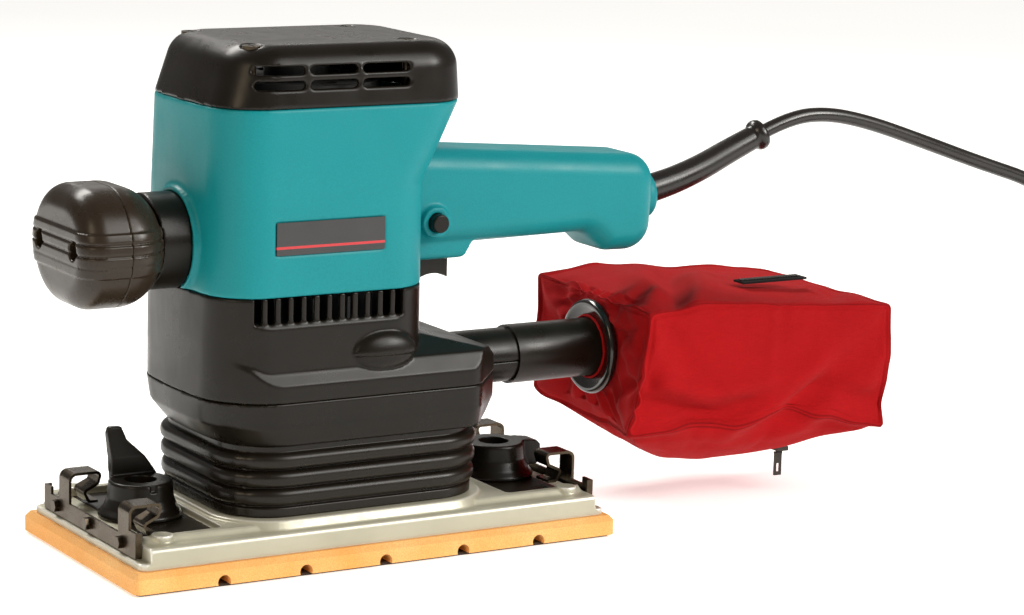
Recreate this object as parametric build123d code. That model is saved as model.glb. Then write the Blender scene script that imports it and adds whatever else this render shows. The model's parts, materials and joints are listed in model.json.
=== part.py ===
from build123d import *
import os
from math import cos, pi, radians, sin, tan

# Half-sheet orbital finishing sander with a dust bag.
# Millimetres.  +Z up, +X towards the handle and the dust bag, -X towards the front knob.
# The origin is the centre of the sanding face, at z = 0.

# Driving dimensions -------------------------------------------------------------------
PAD_LENGTH = 232.0
PAD_WIDTH = 118.0
PLATE_LENGTH = 224.4
PLATE_WIDTH = 110.4
HOOK_THICK = 1.0
PAD_TOP = 9.5
PLATE_TOP = 18.5
BED_TOP = 22.6
BELLOWS_BOTTOM = 23.0
SKIRT_BOTTOM = 53.0
LOW_SEAM = 72.3
MID_SEAM = 116.6
TOP_SEAM = 195.0
OVERALL_HEIGHT = 220.5
BODY_FRONT = -66.5
BODY_REAR = 30.0
COVER_REAR = 47.5
FRONT_BULGE = 4.0
WALL = 2.8
ORBIT = 1.2
MOTOR_X = -16.0
KNOB_X = -106.0
KNOB_Z = 136.0
HANDLE_HALF = 19.5
HANDLE_END = 160.0
NOZZLE_Z = 73.2
NOZZLE_R = 12.25
NOZZLE_BORE = 9.8
NOZZLE_ROOT = 74.0
NOZZLE_END = 104.0
LEVER_X = 87.2
LEVER_TOP = 33.8
CORD_D = 6.8
RUNNING = 0.06


# Small helpers ------------------------------------------------------------------------
def block(x0, x1, y0, y1, z0, z1):
    """Box between two corners."""
    size = Box(x1 - x0, y1 - y0, z1 - z0)
    return Pos((x0 + x1) / 2, (y0 + y1) / 2, (z0 + z1) / 2) * size


def rod(radius, z0, z1, x=0.0, y=0.0):
    """Upright cylinder."""
    return Pos(x, y, (z0 + z1) / 2) * Cylinder(radius, z1 - z0)


def tube(outer, inner, z0, z1, x=0.0, y=0.0):
    """Upright round tube."""
    return rod(outer, z0, z1, x, y) - rod(inner, z0 - 1, z1 + 1, x, y)


def rod_x(radius, x0, x1, y=0.0, z=0.0):
    """Cylinder along X."""
    return Pos((x0 + x1) / 2, y, z) * Rot(0, 90, 0) * Cylinder(radius, x1 - x0)


def tube_x(outer, inner, x0, x1, y=0.0, z=0.0):
    """Round tube along X."""
    return rod_x(outer, x0, x1, y, z) - rod_x(inner, x0 - 1, x1 + 1, y, z)


def rod_y(radius, y0, y1, x=0.0, z=0.0):
    """Cylinder along Y."""
    return Pos(x, (y0 + y1) / 2, z) * Rot(90, 0, 0) * Cylinder(radius, y1 - y0)


def turned(*profile, x=0.0, y=0.0):
    """Solid of revolution about an upright axis, from (radius, z) points."""
    face = make_face(Plane.XZ * Polyline(*profile, close=True))
    return Pos(x, y, 0) * revolve(face, Axis.Z)


def side_slab(y0, y1, *profile):
    """Prism along Y with an (x, z) profile."""
    face = make_face(Plane.XZ * Polyline(*profile, close=True))
    return Pos(0, y0, 0) * extrude(face, y1 - y0, dir=(0, 1, 0))


def joined(parts):
    """One compound of separate solids."""
    return Compound(children=[solid for part in parts for solid in part.solids()])


def rounded(z, x0, x1, half, corner):
    """Rounded rectangle, symmetric in Y, at height z."""
    return Pos((x0 + x1) / 2, 0, z) * RectangleRounded(x1 - x0, 2 * half, corner)


def outline(z, front, rear, half, r_front=22.0, r_rear=22.0, bulge=FRONT_BULGE):
    """Housing outline with a bowed front face, at height z."""
    bow = ThreePointArc((front, -half), (front - bulge, 0), (front, half))
    rest = Polyline((front, half), (rear, half), (rear, -half), (front, -half))
    face = make_face(bow + rest)
    corners = face.vertices().sort_by(Axis.X)
    face = fillet(corners[:2], r_front)
    corners = face.vertices().sort_by(Axis.X)[-2:]
    face = fillet(corners, r_rear)
    return Pos(0, 0, z) * face


# Upper housing ------------------------------------------------------------------------
def body_solid(inset=0.0, z0=MID_SEAM, z1=TOP_SEAM):
    """Drafted motor barrel; its rear wall leans back above the handle."""
    knee = 160.0
    low = outline(z0, BODY_FRONT - 2.0 + inset, BODY_REAR - inset, 45.8 - inset)
    mid = outline(knee, BODY_FRONT - 1.0 + inset, BODY_REAR - inset, 45.0 - inset)
    top = outline(z1, BODY_FRONT + inset, COVER_REAR - inset, 44.5 - inset)
    return loft([low, mid]) + loft([mid, top])


def handle_solid(inset=0.0):
    """Rear grip with its raised root and drooping heel."""
    grip = make_face(
        Plane.XZ
        * Polyline(
            (5.0 + inset, 127.0 + inset),
            (124.0, 129.0 + inset),
            (134.0, 119.5 + inset),
            (HANDLE_END - 1.5 - inset, 119.0 + inset),
            (HANDLE_END - inset, 162.5 - inset),
            (60.0, 169.8 - inset),
            (5.0 + inset, 173.6 - inset),
            close=True,
        )
    )
    half = HANDLE_HALF - inset
    grip = Pos(0, -half, 0) * extrude(grip, 2 * half, dir=(0, 1, 0))
    across = grip.edges().filter_by(Axis.Y)
    grip = fillet(across.sort_by(Axis.X)[-2:], 13.0 - inset)
    concave = grip.edges().filter_by(Axis.Y).filter_by_position(Axis.X, 120, 140)
    grip = fillet(concave, 8.0)
    long_edges = grip.edges().filter_by_position(Axis.X, 6, 170, inclusive=(True, True))
    long_edges = [e for e in long_edges if abs(abs(e.center().Y) - half) < 0.01]
    return fillet(long_edges, 7.0 if inset else 10.5)


def guard_solid(inset=0.0):
    """Root of the grip below the trigger's pocket."""
    lump = side_slab(
        -15.0 + inset,
        15.0 - inset,
        (5.0, 121.5 + inset),
        (60.5 - inset, 121.5 + inset),
        (66.0 - inset, 131.0),
        (5.0, 131.0),
    )
    if inset:
        return lump
    return fillet(lump.edges().filter_by_position(Axis.Z, 121.4, 121.6), 3.0)


def housing_half(side):
    """One clamshell half: barrel, grip and trigger guard. side is -1 (left) or 1 (right)."""
    collar = fillet(rod_x(11.0, HANDLE_END - 8, HANDLE_END + 5.5, 0, 142.0).edges().group_by(Axis.X)[-1], 3.0)
    fairing = side_slab(-13, 13, (34, 168), (44.5, 170), (38.8, 178), (34, 177))
    outer = body_solid() + handle_solid() + guard_solid() + collar + fairing
    outer += rod_x(22.6, -74.0, -60.0, 0, KNOB_Z) & block(-80, -50, -30, 30, MID_SEAM, 170)
    outer += rod_y(7.0, -22.5, -15.0, 42.0, 139.5) + rod_y(7.0, 15.0, 22.5, 42.0, 139.5)
    cavity = body_solid(WALL, MID_SEAM - 1, TOP_SEAM + 1) + handle_solid(WALL)
    bulkhead = block(-80, BODY_REAR + 3, -60, 60, 121.0, 126.0)
    bulkhead -= rod(32.0, 120.0, 127.0, MOTOR_X)
    cavity -= bulkhead
    for x, y in SCREWS_TOP:
        cavity -= rod(4.4, 126.0, 203.0, x, y)
    shell = outer - cavity
    for x, y in SCREWS_TOP:
        shell -= rod(2.0, 196.0, 210.0, x, y)
    shell -= block(40.8, 57.8, -7.6, 7.6, 110.0, 140.0)
    shell -= rod_x(5.6, HANDLE_END - 5, HANDLE_END + 9, 0, 142.0)
    shell -= rod_y(4.0 + RUNNING, -30, 0, 42.0, 139.5)
    shell -= rod_x(20.6, -74.5, -72.0, 0, KNOB_Z)
    shell -= rod_x(4.0, -76, -55, 0, KNOB_Z)
    shell -= block(-47.6, 3.6, -47.0, -44.0, 134.2, 148.4)
    if side < 0:
        return shell & block(-100, 200, -60, 0, 100, 230)
    return shell & block(-100, 200, 0, 60, 100, 230)


SCREWS_TOP = [(-52.0, -29.0), (-52.0, 29.0), (22.0, -28.0), (22.0, 28.0)]


def top_cover():
    """Black cap with two rows of air slots each side."""
    def dome(inset, top):
        low = outline(TOP_SEAM, BODY_FRONT + inset, COVER_REAR - inset, 44.5 - inset)
        high = outline(top, -58.5 + inset, COVER_REAR - 1 - inset, 42.5 - inset)
        solid = loft([low, high])
        return fillet(solid.edges().group_by(Axis.Z)[-1], 12.0 - inset)

    cap = dome(0.0, OVERALL_HEIGHT) - dome(WALL, OVERALL_HEIGHT - WALL)
    for x in (-44.9, -20.3, 4.3):
        for z in (204.6, 210.6):
            slot = Pos(x, 0, z) * Rot(90, 0, 0) * extrude(SlotOverall(22.4, 3.6), 60, both=True)
            cap -= slot
    for x, y in SCREWS_TOP:
        cap -= rod(4.2, OVERALL_HEIGHT - 2.1, 230.0, x, y)
        cap -= rod(2.2, 215.0, 230.0, x, y)
    return cap


def cap_screws():
    """Four pan-head screws through the cap."""
    screws = []
    for x, y in SCREWS_TOP:
        z = OVERALL_HEIGHT - 2.1
        head = rod(4.0, z, z + 1.7, x, y) - block(x - 3, x + 3, y - 0.5, y + 0.5, z + 1, z + 2)
        head -= block(x - 0.5, x + 0.5, y - 3, y + 3, z + 1, z + 2)
        screws.append(head + rod(2.0, z - 20, z, x, y))
    return joined(screws)


def name_plate():
    """Blank plate in the recess on the left side."""
    return block(-47.4, 3.4, -45.6, -44.4, 134.4, 148.2)


# Lower housing, skirt and bellows -----------------------------------------------------
CASE_FRONT = -68.2


def lower_outline(z, inset=0.0, front=-69.0, half=49.2):
    """Outline of the fan case, tapering to the dust outlet at the rear."""
    f, h = front + inset, half - inset
    bow = ThreePointArc((f, -h), (f - FRONT_BULGE, 0), (f, h))
    rest = Polyline(
        (f, h), (50.4, h), (72.0 - inset, 24.0), (72.0 - inset, -24.0), (50.4, -h), (f, -h)
    )
    face = make_face(bow + rest)
    face = fillet(face.vertices().sort_by(Axis.X)[:2], 28.0 - inset)
    face = fillet(face.vertices().sort_by(Axis.X)[-4:], 9.0 - inset)
    return Pos(0, 0, z) * face


def fan_case(inset=0.0):
    """Low, sloping case round the dust fan."""
    case = extrude(lower_outline(LOW_SEAM, inset, CASE_FRONT), 30)
    roof = make_face(
        Plane.YZ
        * Polyline(
            (-60, 60),
            (-60, 79.5 - inset),
            (-49.2, 79.5 - inset),
            (-45.0, 86.6 - inset),
            (-30.0, 94.0 - inset),
            (30.0, 94.0 - inset),
            (45.0, 86.6 - inset),
            (49.2, 79.5 - inset),
            (60, 79.5 - inset),
            (60, 60),
            close=True,
        )
    )
    case &= Pos(-90, 0, 0) * extrude(roof, 180, dir=(1, 0, 0))
    case &= side_slab(
        -60, 60, (-90, 60), (-90, 99), (20, 99), (28, 94), (62, 86 - inset),
        (71, 80 - inset), (80, 74 - inset), (80, 60),
    )
    return case


EXHAUST_X = [-54.8 + 6.03 * i for i in range(12)]


def lower_housing():
    """Black fan housing with exhaust slots, ledge and bearing seat."""
    def barrel(inset):
        low = outline(LOW_SEAM, -69.0 + inset, BODY_REAR - inset, 46.4 - inset, 25.0)
        high = outline(MID_SEAM, BODY_FRONT - 2.0 + inset, BODY_REAR - inset, 45.8 - inset)
        return loft([low, high])

    outer = barrel(0.0) + fan_case()
    for y in (-45.4, 45.4):
        upper = Pos(4.4, y, 89.6) * scale(Sphere(1.0), by=(15.6, 5.6, 9.4))
        lower = Pos(4.4, y, 89.6) * scale(Sphere(1.0), by=(14.4, 4.2, 7.4))
        outer += upper & block(-20, 30, -60, 60, 89.6, 110)
        outer += lower & block(-20, 30, -60, 60, 70, 90.6)
    outer += rod_x(NOZZLE_R, 40.0, NOZZLE_ROOT, 0, NOZZLE_Z)
    shell = outer - (barrel(WALL) & block(-90, 90, -60, 60, 84.0, 130.0))
    shell -= fan_case(WALL) & block(-90, 90, -60, 60, 60.0, 80.0)
    shell -= rod_x(NOZZLE_BORE, 55.0, 110.0, 0, NOZZLE_Z)
    for side in (-1, 1):
        y = side * 46.4
        shell -= block(-58.0, 11.5, y - 1.4, y + 1.4, 104.2, MID_SEAM + 1)
        for x in EXHAUST_X:
            shell -= block(x - 1.8, x + 1.8, y - 5, y + 5, 105.6, MID_SEAM + 1)
    shell += tube(20.0, 16.0, 84.0, 94.0, MOTOR_X)
    shell -= rod(13.0, 70.0, 90.0, MOTOR_X)
    return shell & block(-120, 120, -60, 60, LOW_SEAM, MID_SEAM)


def skirt_cover():
    """Lower case that tapers in to the bellows."""
    def bowl(inset):
        top = lower_outline(LOW_SEAM, inset)
        mid = lower_outline(62.0, inset, -67.5, 48.6)
        low = lower_outline(SKIRT_BOTTOM, inset, -60.5, 46.0)
        return loft([top, mid]) + loft([mid, low])

    under = side_slab(-60, 60, (40, 40), (52, SKIRT_BOTTOM - 0.1), (72.5, 62), (90, 62), (90, 40))
    shell = bowl(0.0) - under - (bowl(WALL) & block(-90, 90, -60, 60, 56.0, 90.0))
    shell += side_slab(-45, 45, (49, 56), (54, 56), (74, 64.5), (72, 67)) & bowl(0.5)
    shell += rod_x(NOZZLE_R, 66.0, NOZZLE_ROOT, 0, NOZZLE_Z)
    shell -= rod_x(NOZZLE_BORE, 60.0, 110.0, 0, NOZZLE_Z)
    shell -= extrude(rounded(50.0, -54.0, 49.0, 36.0, 18.0), 10)
    return shell & block(-120, 120, -60, 60, SKIRT_BOTTOM, LOW_SEAM)


def nozzle_half(z0, z1):
    """Half of the round dust nozzle, above or below the seam."""
    return tube_x(NOZZLE_R, NOZZLE_BORE, NOZZLE_ROOT, NOZZLE_END, 0, NOZZLE_Z) & block(60, 120, -20, 20, z0, z1)


def bellows():
    """Rubber dust bellows: three rounded folds between a top rim and a base rim."""
    solid = extrude(rounded(BELLOWS_BOTTOM, -62.0, 57.0, 44.5, 23.0), 30)
    folds = [(27.8, 35.0, 0.0), (35.4, 42.6, 0.3), (43.0, 50.6, 0.6)]
    for z0, z1, grow in folds:
        fold = extrude(rounded(z0, -65.0 - grow, 60.5, 47.2, 25.0), z1 - z0)
        solid += fillet(fold.edges().filter_by(Plane.XY), 3.4)
    solid += extrude(rounded(BELLOWS_BOTTOM, -63.2, 58.4, 45.8, 24.0), 4.2)
    return solid - extrude(rounded(BELLOWS_BOTTOM - 1, -58.0, 53.0, 40.5, 20.0), 40)


def bellows_frame():
    """Steel frame that clamps the bellows' top rim to the skirt."""
    frame = extrude(rounded(51.0, -57.8, 52.8, 40.3, 19.8), 2.0)
    return frame - extrude(rounded(50.0, -54.0, 49.0, 36.0, 18.0), 4.0)


# Platen -------------------------------------------------------------------------------
CHANNEL_X = [-76.0, -38.0, 0.0, 38.0, 76.0]


def dust_holes(z0, z1, radius):
    """Eight punched dust holes over the channels."""
    holes = [rod(radius, z0, z1, x, y) for x in (-76.0, -38.0, 38.0, 76.0) for y in (-32.0, 32.0)]
    return joined(holes)


def sanding_pad():
    """Foam pad with five cross channels."""
    pad = extrude(Pos(0, 0, HOOK_THICK) * RectangleRounded(PAD_LENGTH, PAD_WIDTH, 3.0), 8.5)
    pad = chamfer(pad.edges().group_by(Axis.Z)[-1], 2.2)
    for x in CHANNEL_X:
        pad -= rod_y(3.0, -70, 70, x, 2.2)
    return pad - dust_holes(0.0, 20.0, 5.0)


def hook_sheet():
    """Thin backing sheet under the pad."""
    sheet = extrude(RectangleRounded(PAD_LENGTH - 4.0, PAD_WIDTH - 4.0, 2.0), HOOK_THICK)
    return sheet - dust_holes(-1.0, 2.0, 5.0)


def base_plate():
    """Cast aluminium platen with a raised bed, clamp recesses and the eccentric's bearing box."""
    plate = extrude(Pos(0, 0, PAD_TOP) * RectangleRounded(PLATE_LENGTH, PLATE_WIDTH, 3.0), 9.0)
    plate = fillet(plate.edges().group_by(Axis.Z)[-1], 2.0)
    deck = loft([rounded(PLATE_TOP, -107, 107, 48.5, 6.0), rounded(21.0, -106, 106, 46.0, 5.0)])
    plate += deck
    bed = loft([rounded(PLATE_TOP, -68.2, 63.4, 52.0, 28.0), rounded(BED_TOP, -66.8, 62.0, 49.8, 27.0)])
    plate += bed
    plate -= block(-125, -107.6, -60, 60, 12.5, 30) + block(107.6, 125, -60, 60, 12.5, 30)
    for side in (-1, 1):
        x0, x1 = sorted((side * 69.2, side * 108.0))
        pocket = extrude(rounded(PLATE_TOP - 0.5, x0, x1, 42.5, 3.0), 8)
        plate -= pocket
        for y in (-45.0, 45.0):
            plate += rod(4.6, PLATE_TOP, 21.8, side * 98.0, y)
    axis_x = MOTOR_X + ORBIT
    plate += rod(19.5, PAD_TOP, 29.0, axis_x)
    plate -= rod(15.0, 19.0, 40.0, axis_x)
    plate -= rod(9.0, 15.0, 40.0, axis_x)
    for side in (-1, 1):
        plate -= rod(3.0, 8.0, 30.0, side * LEVER_X)
    return plate


# Paper clamps and levers --------------------------------------------------------------
STRIP_BOTTOM = 12.9
LOOP_Y = [26.0, -35.0]
RIVET_Y = [-33.0, 0.0, 33.0]


def clamp_bar():
    """Spring-steel clamp at the front end: a toothed strip with two hooked springs."""
    strip = block(-110.9, -109.7, -47.0, 47.0, STRIP_BOTTOM, 20.4)
    strip += block(-110.9, -109.7, -47.0, -30.0, 20.4, 23.6) + block(-110.9, -109.7, 40.0, 47.0, 20.4, 23.6)
    strip += block(-110.9, -107.9, -47.0, -45.8, STRIP_BOTTOM, 23.6)
    strip += block(-110.9, -107.9, 45.8, 47.0, STRIP_BOTTOM, 23.6)
    for y in LOOP_Y:
        hook = FilletPolyline(
            (-110.3, y, 18.0), (-110.3, y, 33.0), (-96.0, y, 33.0), (-97.5, y, 28.0),
            (-104.0, y, 25.0), (-101.5, y, 20.4), (-97.5, y, 20.4), radius=[3.0, 1.6, 1.6, 1.4, 1.2],
        )
        start = Plane(origin=hook @ 0, x_dir=(0, 1, 0), z_dir=hook % 0)
        strip += sweep(start * Rectangle(10.4, 1.2), hook)
    return strip


def clamp_rivets():
    """Three hex heads on the clamp strip."""
    rivets = []
    for y in RIVET_Y:
        head = extrude(Plane.YZ * RegularPolygon(2.7, 6), 2.2, dir=(-1, 0, 0))
        head = Pos(-110.9, y, 17.0) * head
        rivets.append(head)
    return joined(rivets)


def lever_hub(x):
    """Flared hub of a clamp lever, bored for its screw."""
    return turned(
        (3.0 + RUNNING, 18.5), (18.0, 18.5), (18.0, 20.0), (15.8, 22.5), (14.2, 26.5),
        (13.6, LEVER_TOP - 0.8), (12.9, LEVER_TOP), (6.7, LEVER_TOP), (6.7, 23.0), (3.0 + RUNNING, 23.0), x=x,
    )


def front_lever():
    """Front clamp lever; its thumb blade stands behind the bore and leans back at the top."""
    side = side_slab(
        6.0, 15.0, (-96.5, 30.0), (-97.0, 42.0), (-98.0, 52.0), (-97.0, 54.9), (-91.4, 54.7),
        (-89.2, 49.0), (-81.4, 41.6), (-75.8, LEVER_TOP), (-75.8, 30.0),
    )
    lean = make_face(
        Plane.YZ * Polyline(
            (8.4, 30), (7.6, 42), (10.4, 56), (13.4, 56), (12.6, 42), (11.8, 30), close=True
        )
    )
    blade = side & (Pos(-110, 0, 0) * extrude(lean, 50, dir=(1, 0, 0)))
    notch = block(-LEVER_X - 1.6, -LEVER_X + 1.6, -14.5, -12.6, LEVER_TOP - 3.2, LEVER_TOP + 1)
    return lever_hub(-LEVER_X) + blade - notch


def rear_lever():
    """Rear clamp lever, its thumb blade folded flat towards the rear."""
    tip = LEVER_X + 22.0
    blade = side_slab(
        -5.0, 5.0, (LEVER_X, 22.0), (tip - 2.0, 22.0), (tip, 24.0), (tip, 31.0),
        (tip - 2.0, 33.0), (tip - 8.0, LEVER_TOP), (LEVER_X, LEVER_TOP),
    )
    bore = rod(6.7, 23.0, 60.0, LEVER_X) + rod(10.0, 20.0, 30.0, LEVER_X)
    return lever_hub(LEVER_X) + (blade - bore)


def lever_screw(x):
    """Shouldered screw that holds a lever to the platen."""
    screw = rod(3.0, 12.0, 23.4, x) + rod(5.4, 23.4, 27.0, x)
    cross = block(x - 3.2, x + 3.2, -0.6, 0.6, 25.6, 28.0) + block(x - 0.6, x + 0.6, -3.2, 3.2, 25.6, 28.0)
    return screw - cross


# Front knob ---------------------------------------------------------------------------
SCREW_SPREAD = 17.5


def knob_body(grow=0.0):
    """Whole knob: an oblong ball, flattened fore and aft."""
    half_depth = 19.6 + grow
    shape = Plane.YZ * SlotOverall(64.0 + 2 * grow, 51.0 + 2 * grow)
    solid = Pos(KNOB_X - half_depth, 0, KNOB_Z) * extrude(shape, 2 * half_depth, dir=(1, 0, 0))
    rims = solid.edges().filter_by(Plane.YZ)
    solid = fillet(rims.sort_by(Axis.X)[: len(rims) // 2], 10.0 + grow)
    return fillet(solid.edges().filter_by(Plane.YZ).filter_by_position(Axis.X, KNOB_X + 15, -60), 18.0 + grow)


def knob_whole():
    """Knob with four raised grip bands and two screw recesses."""
    knob = knob_body()
    raised = knob_body(0.8)
    for z in (-7.2, -2.4, 2.4, 7.2):
        z_mid = KNOB_Z + z
        knob += raised & block(-140, -70, -60, 60, z_mid - 1.9, z_mid + 1.9)
    for y in (-SCREW_SPREAD, SCREW_SPREAD):
        knob -= rod_x(3.9, -140, -114.0, y, KNOB_Z + 1)
        knob -= rod_x(1.6, -115, -92.0, y, KNOB_Z + 1)
    knob -= rod_x(11.0, -112.0, -96.0, 0, KNOB_Z)
    return knob - rod_x(4.0, -113.0, -70, 0, KNOB_Z)


def knob_neck():
    """Round spacer between knob and housing."""
    ring = rod_x(20.5, -88.0, -73.2, 0, KNOB_Z) - rod_x(4.0, -90, -70, 0, KNOB_Z)
    return ring - knob_body(0.8)


def knob_bolt():
    """Bolt through the neck, with a washer-faced head in the knob."""
    return rod_x(4.0, -111.0, -60.0, 0, KNOB_Z) + rod_x(8.0, -104.0, -96.0, 0, KNOB_Z)


def knob_screws():
    """Two screws that hold the knob's halves together."""
    screws = []
    for y in (-SCREW_SPREAD, SCREW_SPREAD):
        head = rod_x(3.7, -117.0, -114.0, y, KNOB_Z + 1)
        head -= block(-118, -115.4, y - 2.6, y + 2.6, KNOB_Z + 0.5, KNOB_Z + 1.5)
        head -= block(-118, -115.4, y - 0.5, y + 0.5, KNOB_Z - 1.6, KNOB_Z + 3.6)
        screws.append(head + rod_x(1.5, -114.0, -93.0, y, KNOB_Z + 1))
    return joined(screws)


# Motor, eccentric and bearings --------------------------------------------------------
def ball_bearing(bore, outer, z0, width, x, balls=8):
    """Deep-groove ball bearing: two races and a ring of balls."""
    step = (outer - bore) / 4
    ball_r = step * 0.62
    pitch = (outer + bore) / 2
    mid = z0 + width / 2
    groove = Pos(x, 0, mid) * Torus(pitch, ball_r + 0.15)
    inner_race = tube(bore + step * 0.75, bore, z0, z0 + width, x) - groove
    outer_race = tube(outer, outer - step * 0.75, z0, z0 + width, x) - groove
    ring = []
    for i in range(balls):
        a = 2 * pi * i / balls
        ring.append(Pos(x + pitch * cos(a), pitch * sin(a), mid) * Sphere(ball_r))
    return joined([inner_race, outer_race] + ring)


def shaft():
    """Armature shaft with its eccentric pin."""
    body = rod(4.0, 192.0, 211.0, MOTOR_X) + rod(5.0, 118.0, 192.0, MOTOR_X)
    body += rod(6.0, 58.0, 118.0, MOTOR_X) + rod(10.0, 36.0, 58.0, MOTOR_X)
    return body + rod(5.0, 19.4, 36.0, MOTOR_X + ORBIT)


def armature():
    """Laminated core with twelve straight slots."""
    core = rod(21.0, 130.0, 178.0, MOTOR_X) - rod(5.0, 120.0, 190.0, MOTOR_X)
    for i in range(12):
        a = 2 * pi * i / 12
        slot = Pos(MOTOR_X + 19.5 * cos(a), 19.5 * sin(a), 154) * Rot(0, 0, 30.0 * i) * Box(6, 1.6, 60)
        core -= slot
    return core


def armature_coils():
    """Copper end turns above and below the core."""
    low = turned((5.0, 122.0), (13.0, 122.0), (18.0, 125.0), (18.0, 130.0), (5.0, 130.0), x=MOTOR_X)
    high = turned((5.0, 178.0), (18.0, 178.0), (18.0, 182.0), (13.0, 185.0), (5.0, 185.0), x=MOTOR_X)
    return joined([low, high])


def commutator():
    """Commutator with narrow gaps between its bars."""
    ring = tube(12.0, 5.0, 185.5, 191.9, MOTOR_X)
    for i in range(12):
        a = 2 * pi * i / 12
        ring -= Pos(MOTOR_X + 11.5 * cos(a), 11.5 * sin(a), 190) * Rot(0, 0, 30.0 * i) * Box(2.4, 0.6, 12)
    return ring


def stator():
    """Field core: a ring with two flats and two coil slots."""
    core = tube(36.0, 21.8, 126.0, 182.0, MOTOR_X)
    for side in (-1, 1):
        core -= block(MOTOR_X - 12, MOTOR_X + 12, side * 29 - 4, side * 29 + 4, 125, 183)
    return core


def field_coils():
    """Two field windings in the stator's slots."""
    coils = []
    for side in (-1, 1):
        coils.append(
            block(MOTOR_X - 11.5, MOTOR_X + 11.5, side * 28 - 2.6, side * 28 + 2.6, 126.2, 184.0)
        )
    return joined(coils)


def end_bracket():
    """Moulded bracket on the field core that carries the upper bearing and the brushes."""
    bowl = tube(35.5, 33.0, 184.2, 200.0, MOTOR_X) + tube(36.0, 33.0, 182.0, 184.2, MOTOR_X)
    bowl += tube(35.5, 11.0, 200.0, 203.0, MOTOR_X) + tube(14.0, 11.0, 200.0, 210.0, MOTOR_X)
    for a in range(0, 360, 60):
        spot = Pos(MOTOR_X, 0, 0) * Rot(0, 0, a + 30) * rod(6.0, 195.0, 205.0, 24.0)
        bowl -= spot
    for side in (-1, 1):
        y0, y1 = sorted((side * 30, side * 40))
        bowl -= block(MOTOR_X - 5.1, MOTOR_X + 5.1, y0, y1, 184.9, 193.6)
    return bowl


def brush_holders():
    """Two brass brush tubes."""
    holders = []
    for side in (-1, 1):
        y0, y1 = sorted((side * 15.0, side * 37.0))
        sleeve = block(MOTOR_X - 5.0, MOTOR_X + 5.0, y0, y1, 185.0, 193.5)
        holders.append(sleeve - block(MOTOR_X - 3.5, MOTOR_X + 3.5, y0 - 1, y1 + 1, 186.4, 192.0))
    return joined(holders)


def carbon_brushes():
    """Two carbon brushes, resting just off the commutator."""
    brushes = []
    for side in (-1, 1):
        y0, y1 = sorted((side * 12.4, side * 26.0))
        brushes.append(block(MOTOR_X - 3.4, MOTOR_X + 3.4, y0, y1, 186.5, 191.9))
    return joined(brushes)


def bladed_fan(hub_r, outer_r, bore, z0, z1, blades, x):
    """Radial fan: a back disc, a hub and straight blades."""
    fan = tube(outer_r, bore, z0, z0 + 2.0, x) + tube(hub_r, bore, z0, z1, x)
    length = outer_r - hub_r
    for i in range(blades):
        a = 360.0 * i / blades
        blade = Pos(hub_r + length / 2 - 0.3, 0, (z0 + z1) / 2) * Box(length, 1.5, z1 - z0)
        fan += Pos(x, 0, 0) * Rot(0, 0, a) * blade
    return fan


def counterweight():
    """Half-disc balance weight on the side away from the eccentric."""
    disc = tube(24.0, 10.0, 46.0, 55.0, MOTOR_X)
    return disc - block(MOTOR_X - 2.0, MOTOR_X + 40, -40, 40, 40, 60) + tube(13.5, 10.0, 46.0, 55.0, MOTOR_X)


def bearing_retainer():
    """Disc that holds the lower bearing in its seat."""
    return tube(20.0, 8.5, 94.0, 96.0, MOTOR_X)


def fan_baffle():
    """Steel plate under the dust fan that makes its inlet."""
    plate = extrude(rounded(56.0, -56.0, 48.6, 39.0, 20.0), 1.6)
    return plate - rod(18.0, 50.0, 60.0, MOTOR_X)


LEG_SPOTS = [(-41.0, -24.0), (-41.0, 24.0), (32.0, -24.0), (32.0, 24.0)]


def rubber_legs():
    """Four rubber pillars that carry the housing on the platen."""
    legs = []
    for x, y in LEG_SPOTS:
        legs.append(turned((0.0, BED_TOP), (7.0, BED_TOP), (5.8, 36.0), (7.0, 56.0), (0.0, 56.0), x=x, y=y))
    return joined(legs)


# Switch and grip hardware -------------------------------------------------------------
def switch_body():
    """Boxed switch in the root of the grip."""
    box = block(36.5, 76.0, -9.0, 9.0, 133.5, 158.0)
    return fillet(box.edges().filter_by(Axis.Y), 1.5)


def trigger():
    """Finger trigger with a hollowed lower face."""
    lever = block(41.4, 57.2, -7.0, 7.0, 112.0, 127.0)
    lever -= rod_y(15.0, -10, 10, 49.3, 99.2)
    return fillet(lever.edges().filter_by(Axis.Z), 1.6)


def lock_button():
    """Lock-on pin in its raised ring."""
    pin = rod_y(4.0, -26.5, -16.0, 42.0, 139.5)
    return fillet(pin.edges().group_by(Axis.Y)[0], 0.8)


# Dust bag -----------------------------------------------------------------------------
BAG_HALF = 54.0
BAG_LOW = 22.0
MOUTH_X = 139.0


def bag_profile(inset):
    """The filled bag's outer shape: a side profile with its lower long edges cut back."""
    side = side_slab(
        -BAG_HALF + inset,
        BAG_HALF - inset,
        (126.0 + inset, 45.0 + inset),
        (154.0, 29.0 + inset),
        (186.0, BAG_LOW + inset),
        (238.0, BAG_LOW + inset),
        (272.0 - inset, 33.0 + inset),
        (275.0 - inset, 62.0),
        (273.0 - inset, 94.0 - inset),
        (215.0, 100.0 - inset),
        (160.0, 105.0 - inset),
        (136.0 + inset, 100.0 - inset),
    )
    wide, narrow = BAG_HALF - inset, BAG_HALF - 14.0 - inset
    low = BAG_LOW - 1 + inset
    across = make_face(
        Plane.YZ * Polyline(
            (-wide, 110), (-wide, 40), (-narrow, low), (narrow, low), (wide, 40), (wide, 110), close=True
        )
    )
    return side & (Pos(100, 0, 0) * extrude(across, 200, dir=(1, 0, 0)))


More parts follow.
